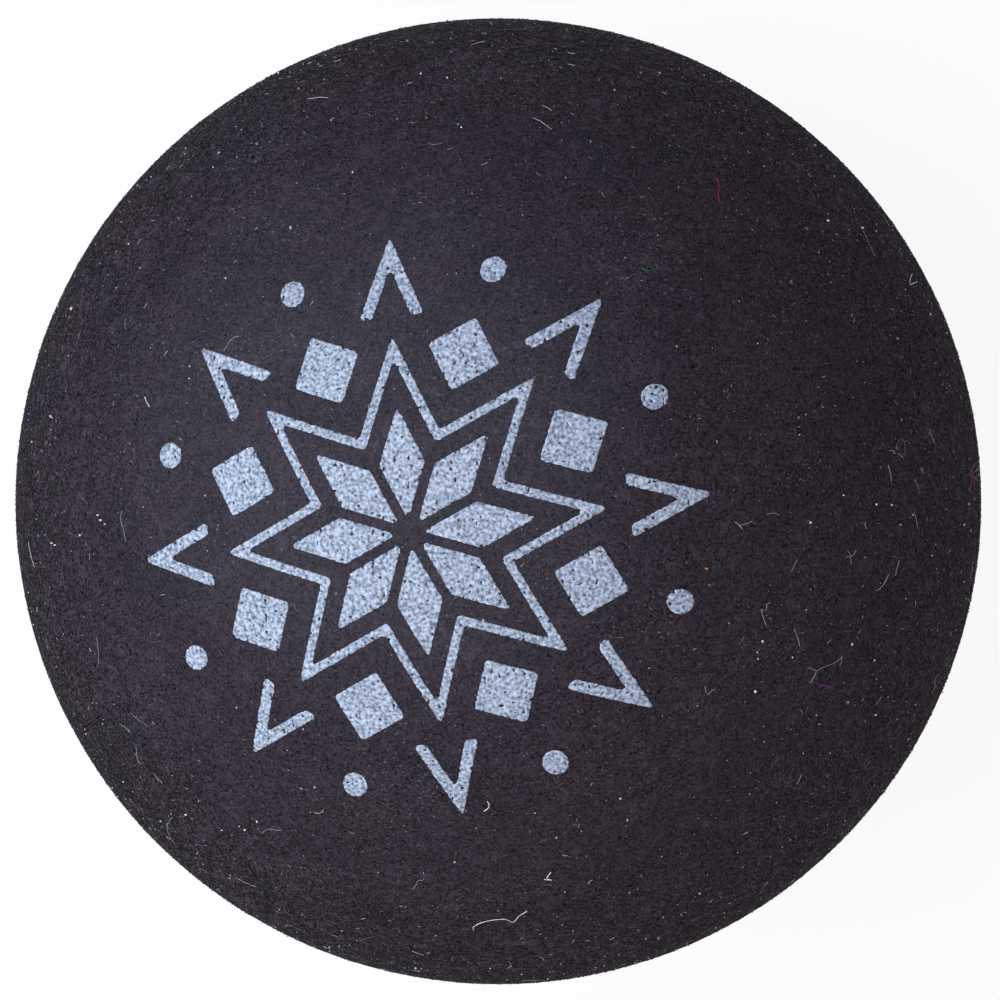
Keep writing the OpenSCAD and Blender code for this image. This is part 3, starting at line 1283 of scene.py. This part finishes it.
LAID_FIBRES = {
    "kinked": (WHITE_LINT, 0.013, KINKED_PATH),
    "straight": (WHITE_LINT, 0.016, ((145, 397), (147, 402), (150, 407))),
    "hook": (LINT_PALE, 0.014, ((487, 801), (489, 804), (488, 808), (484, 811))),
    "tick": (LINT_PALE, 0.014, ((544, 879), (552, 880), (547, 878), (551, 872))),
    "curl": (GREY_LINT, 0.013, ((122, 511), (121, 520), (124, 531), (126, 541))),
    "red": (RED_FIBRE, 0.016, ((716, 178), (719, 186), (718, 195), (720, 203))),
    "green": (GREEN_FIBRE, 0.014, ((642, 268), (646, 271), (651, 270))),
    "teal": (TEAL_FIBRE, 0.014, ((424, 40), (429, 43), (433, 42))),
    "violet": (VIOLET_FIBRE, 0.016, ((818, 687), (824, 685), (831, 687), (824, 688))),
    "orange": (ORANGE_FIBRE, 0.036, ((705, 568), (706, 568.5), (707.5, 569))),
    "knot": (GREY_LINT, 0.018, ((734, 522), (738, 524), (742, 529))),
    "knot_tail": (GREY_LINT, 0.014, ((739, 525), (745, 524), (752, 521))),
    "curled": (GREY_LINT, 0.014, CURLED_PATH),
    "branch": (GREY_LINT, 0.013, ((808, 668), (812, 669), (816, 671), (814, 676), (810, 683))),
    "branch_arm": (GREY_LINT, 0.011, ((816, 671), (824, 667), (834, 663), (841, 658), (842, 656))),
    "branch_tip": (GREY_LINT, 0.011, ((842, 656), (841, 662), (839.5, 666))),
    "vee": (GREY_LINT, 0.014, ((705, 686), (705.5, 690), (708, 694), (711, 691), (715.5, 689))),
    "bow": (GREY_LINT, 0.014, ((846, 557), (851, 556), (854.5, 553), (856, 550))),
    "faint": (GREY_LINT, 0.012, ((794, 629), (797, 636), (800, 647))),
    "wedge": (LINT_PALE, 0.014, ((912, 274), (910, 279), (910, 284.5), (914, 283), (917, 282))),
    "long": (GREY_LINT, 0.012, ((863, 231), (869, 244), (875, 256))),
    "short": (GREY_LINT, 0.015, ((805, 227), (808, 230))),
    "lower": (GREY_LINT, 0.013, ((882, 696), (879, 700), (875.5, 705))),
    "loop": (GREY_LINT, 0.015, ((939, 673), (934.5, 679), (934.5, 686), (931.5, 693.5))),
    "lowest": (GREY_LINT, 0.014, ((801, 776), (799, 780), (797, 784))),
    "corner": (GREY_LINT, 0.013, ((136, 746), (137, 752), (138, 760), (142, 764))),
    "edge": (GREY_LINT, 0.013, ((120, 724), (125, 727), (130, 732.5))),
    "slack": (GREY_LINT, 0.012, ((171, 819), (167.5, 826), (169, 834), (175, 844))),
    "twig": (GREY_LINT, 0.012, ((262, 833), (266, 830), (270, 829), (276, 830), (282, 830))),
    "upright": (GREY_LINT, 0.015, ((888, 465), (890, 473), (891, 481))),
    "leaning": (GREY_LINT, 0.012, ((914, 479), (917, 485), (919, 490))),
    "tuft_long": (RED_LINT, 0.014, ((978.4, 460.5), (974, 465), (970.5, 472), (969.5, 476.5))),
    "tuft_cross": (RED_LINT, 0.015, ((978.6, 466), (976, 470), (972, 475.5), (977.5, 480.5))),
    "tuft_down": (RED_LINT, 0.014, ((972, 475.5), (971, 482.5), (969.5, 489.5), (971, 492))),
    "tuft_side": (RED_LINT, 0.014, ((974, 480.5), (974.5, 485), (974.5, 489.5))),
    "tuft_end": (WHITE_LINT, 0.022, ((978, 474), (978.3, 475.5))),
    "tangle_hook": (GREY_LINT, 0.017, ((889, 450.5), (893, 451), (894.5, 454))),
    "tangle_arm": (GREY_LINT, 0.013, ((897, 453.5), (900, 455), (903, 458))),
    "tangle_rise": (GREY_LINT, 0.012, ((896, 446), (896.5, 448), (897, 450))),
    "tangle_loop": (FAINT_LINT, 0.012, ((896, 446), (900, 439.5), (904.5, 443.5), (904.5, 456))),
    "high": (GREY_LINT, 0.013, ((929, 430), (931.5, 437), (934, 443.5))),
    "low_teal": (DARK_TEAL_FIBRE, 0.014, ((927.5, 473.5), (931, 480), (934.5, 486))),
    "dark_low": (BLACK_HAIR, 0.026, ((247.5, 864), (251.5, 869.5), (257, 876))),
    "dark_right": (BLACK_HAIR, 0.022, ((716, 481), (716.5, 486), (716, 491))),
}
LAID_CRUMBS = (
    (98, 515, 0.035), (101, 520, 0.045), (105, 524, 0.03), (52, 543, 0.035), (55, 545, 0.03),
    (80, 535, 0.035), (186, 814, 0.045), (245, 829, 0.045), (257, 821, 0.035), (754, 691, 0.06),
    (809.5, 522.5, 0.04), (761.5, 641, 0.04), (827, 221, 0.045), (874.5, 714.5, 0.035),
)
CRUMB_LENGTH_PX = 1.0


def place_on_ball(pixel):
    """Point of the ball's surface that the camera sees at a place of the picture."""
    camera = bpy.context.scene.camera
    data = camera.data
    across = (pixel[0] / PICTURE_PX - 0.5 + data.shift_x) * data.sensor_width / data.lens
    up = (0.5 - pixel[1] / PICTURE_PX + data.shift_y) * data.sensor_width / data.lens
    start = camera.matrix_world.translation
    ray = (camera.matrix_world.to_3x3() @ Vector((across, up, -1))).normalized()
    nearest = -start.dot(ray)
    off_axis = (start + nearest * ray).length
    return start + (nearest - math.sqrt(ball_r**2 - off_axis**2)) * ray


print("the pole is seen at the place", [round(c / MM, 3) for c in place_on_ball(POLE_PX)])

# %% [markdown]
# All paths go into one mesh of points and edges, which carries each fibre's tint and radius. A tree
# makes smooth curves of the edges and lays a tube along each, in the same way as for scattered lint.

# %% Geometry Nodes: a tube along each listed path
LAID_STEPS = 28


def build_laid_tree():
    tree, given, result = new_ball_tree("laid fibres", {})
    paths = wire("GeometryNodeMeshToCurve", {0: given["Geometry"]})
    smooth = wire("GeometryNodeCurveSplineType", {"Curve": paths}, spline_type="CATMULL_ROM")
    fine = wire("GeometryNodeResampleCurve", {"Curve": smooth, "Count": LAID_STEPS})
    thread = attribute(tree, "thread")
    end_tree(given, result, store(tubes_on_skin(tree, given, fine, thread, thread), "skin", 1.0))
    return tree


def laid_fibres(name):
    """One piece that holds all the listed fibres and crumbs."""
    points, edges, tints, threads = [], [], [], []
    crumbs = [(WHITE_LINT, radius, ((x, y), (x + CRUMB_LENGTH_PX, y))) for x, y, radius in LAID_CRUMBS]
    for colour, radius, pixels in [*LAID_FIBRES.values(), *crumbs]:
        edges += [(len(points) + k, len(points) + k + 1) for k in range(len(pixels) - 1)]
        points += [place_on_ball(pixel) for pixel in pixels]
        tints += list(colour) * len(pixels)
        threads += [radius * MM] * len(pixels)
    piece = new_piece(name, points, edges)
    set_attribute(piece, "tint", tints, "FLOAT_COLOR", "color")
    set_attribute(piece, "thread", threads)
    apply_tree(piece, build_laid_tree(), {"Material": lint_and_dust})
    finish_piece(piece)


laid_fibres("laid_fibres")

# %% [markdown]
# The ball lies on a plain pale floor. To the camera, and to anything glossy, most of the floor is
# plain white, and the rest is the lit floor itself, so that the ball's shadow stays. Seen from below
# the floor lets the view through, so that the ball can be looked at from there too.

# %% Floor
FLOOR_SIZE = 1.2
FLOOR_COLOUR = (0.8, 0.8, 0.8, 1)
WHITE = (1, 1, 1, 1)
WHITE_SHARE = 0.92


def seen_directly(tree):
    """1 for rays from the camera, or by way of gloss or glass, and 0 for all others."""
    camera, gloss, glass = (
        source(tree, "ShaderNodeLightPath", out=f"Is {kind} Ray")
        for kind in ("Camera", "Glossy", "Transmission")
    )
    return maths("MAXIMUM", maths("MAXIMUM", camera, gloss), glass)


def floor_material():
    material, shader, _ = new_material("studio floor")
    tree = shader.id_data
    fill_in(shader, {"Base Color": FLOOR_COLOUR, "Roughness": 0.9})
    glow = source(tree, "ShaderNodeEmission", {"Color": WHITE, "Strength": 1.0})
    share = times(seen_directly(tree), WHITE_SHARE)
    lit = wire("ShaderNodeMixShader", {0: share, 1: shader.outputs[0], 2: glow})
    from_below = source(tree, "ShaderNodeNewGeometry", out="Backfacing")
    clear = source(tree, "ShaderNodeBsdfTransparent")
    both = wire("ShaderNodeMixShader", {0: from_below, 1: lit, 2: clear})
    fill_in(tree.nodes["Material Output"], {"Surface": both})
    return material


def add_floor():
    half = FLOOR_SIZE / 2
    corners = [(x * half, y * half, -ball_r) for x, y in ((-1, -1), (1, -1), (1, 1), (-1, 1))]
    floor = new_piece("floor", corners, faces=[(0, 1, 2, 3)])
    floor.data.materials.append(floor_material())


add_floor()

# %% [markdown]
# The world is white to the camera. Gloss shows the white backdrop up to the horizon and a dark room
# above, so the rubber keeps its black. The ball itself gets a dim fill, which is stronger from the
# pale walls near the horizon.

# %% Surroundings
ROOM_HEIGHTS = (0.05, 0.45)
FILL_COLOUR = (0.065, 0.02, 0.055, 1)
WALL_COLOUR = (0.44, 0.35, 0.43, 1)
WALL_HEIGHT = 0.5


def set_world():
    world = bpy.data.worlds.new("studio")
    world.use_nodes = True
    tree = world.node_tree
    height = part(source(tree, "ShaderNodeTexCoord", out="Generated"), "Z")
    glossy = source(tree, "ShaderNodeLightPath", out="Is Glossy Ray")
    room = times(glossy, between(height, *ROOM_HEIGHTS))
    white = times(seen_directly(tree), minus(1.0, room))
    walls = between(maths("ABSOLUTE", height), 0.0, WALL_HEIGHT, 1.0, 0.0)
    colour = mix_colours(white, mix_colours(walls, FILL_COLOUR, WALL_COLOUR), WHITE)
    fill_in(tree.nodes["Background"], {"Color": colour})
    bpy.context.scene.world = world
    print("world:", world.name)


set_world()

# %% [markdown]
# Three square softboxes face the ball. The key light stands to the left of the camera, so the ball
# falls off to the right. A weak warm one from below and a weak one at the camera open the shadows.
# Each has its angles right and up of the camera, its power in watts, and its colour.

# %% Lamps
LAMP_DISTANCE = 0.6
LAMP_SIZE = 0.45
LAMPS = {
    "key": (-40, 0, 4.3, (0.90, 1.0, 1.0)),
    "low": (0, -40, 0.8, (1.1, 1.0, 0.75)),
    "front": (0, 0, 0.8, (1.0, 1.0, 1.0)),
}


def softbox(name, right, up, power, colour):
    """A square lamp that faces the ball, right and up of the camera by the given angles."""
    view = bpy.context.scene.camera.matrix_world.to_3x3().normalized()
    turn = Matrix.Rotation(math.radians(right), 3, "Y") @ Matrix.Rotation(math.radians(-up), 3, "X")
    direction = view @ turn @ Vector((0, 0, 1))
    light = bpy.data.lights.new(name, "AREA")
    light.size = LAMP_SIZE
    light.energy = power
    light.color = colour
    lamp = bpy.data.objects.new(name, light)
    lamp.location = direction * LAMP_DISTANCE
    lamp.rotation_euler = direction.to_track_quat("Z", "Y").to_euler()
    lamp.visible_camera = False
    bpy.context.scene.collection.objects.link(lamp)
    print("lamp:", name, power, "W")


for lamp_name, lamp_values in LAMPS.items():
    softbox(lamp_name, *lamp_values)

# %% [markdown]
# Last, the picture's tones are set to be shown as they are rendered.

# %% Finish
bpy.context.scene.view_settings.view_transform = "Standard"
